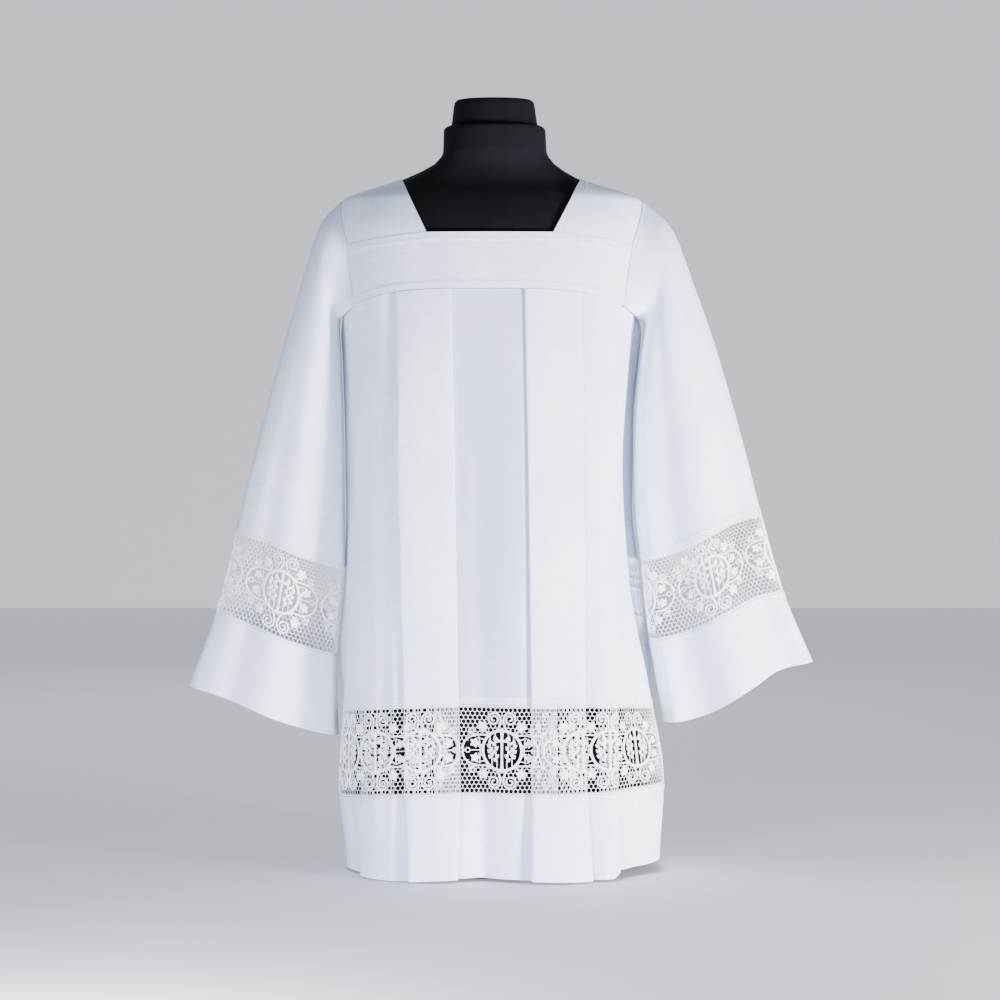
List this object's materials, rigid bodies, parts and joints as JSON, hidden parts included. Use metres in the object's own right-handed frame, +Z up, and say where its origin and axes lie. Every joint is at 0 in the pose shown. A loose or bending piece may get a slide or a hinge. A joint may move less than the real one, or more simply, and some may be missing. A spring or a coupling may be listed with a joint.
{
  "type": "surplice on a dress form",
  "caption": "White pleated surplice with a square yoke, wide sleeves and lace bands, hanging open on a black limbless dress form.",
  "frame": {"origin": "centre of the bounding box on the surface that the dress form stands on", "axes": "+Z up, -Y to the front of the garment, +X to the wearer's left"},
  "size_m": [0.8742, 0.2867, 1.072],
  "materials": {
    "cloth": "fine white lawn, matt with a faint sheen",
    "lace": "white openwork lace, matt",
    "form_cover": "black jersey cover, matt"
  },
  "bodies": {
    "root": {"dress_form": "form_cover", "yoke_front": "cloth", "yoke_back": "cloth", "shoulder_right": "cloth", "shoulder_left": "cloth", "body_front": "cloth", "body_back": "cloth", "lace_front": "lace", "lace_back": "lace", "hem_front": "cloth", "hem_back": "cloth", "sleeve_right": "cloth", "sleeve_left": "cloth", "sleeve_lace_right_front": "lace", "sleeve_lace_right_back": "lace", "sleeve_lace_left_front": "lace", "sleeve_lace_left_back": "lace", "cuff_right": "cloth", "cuff_left": "cloth"}
  },
  "joints": []
}
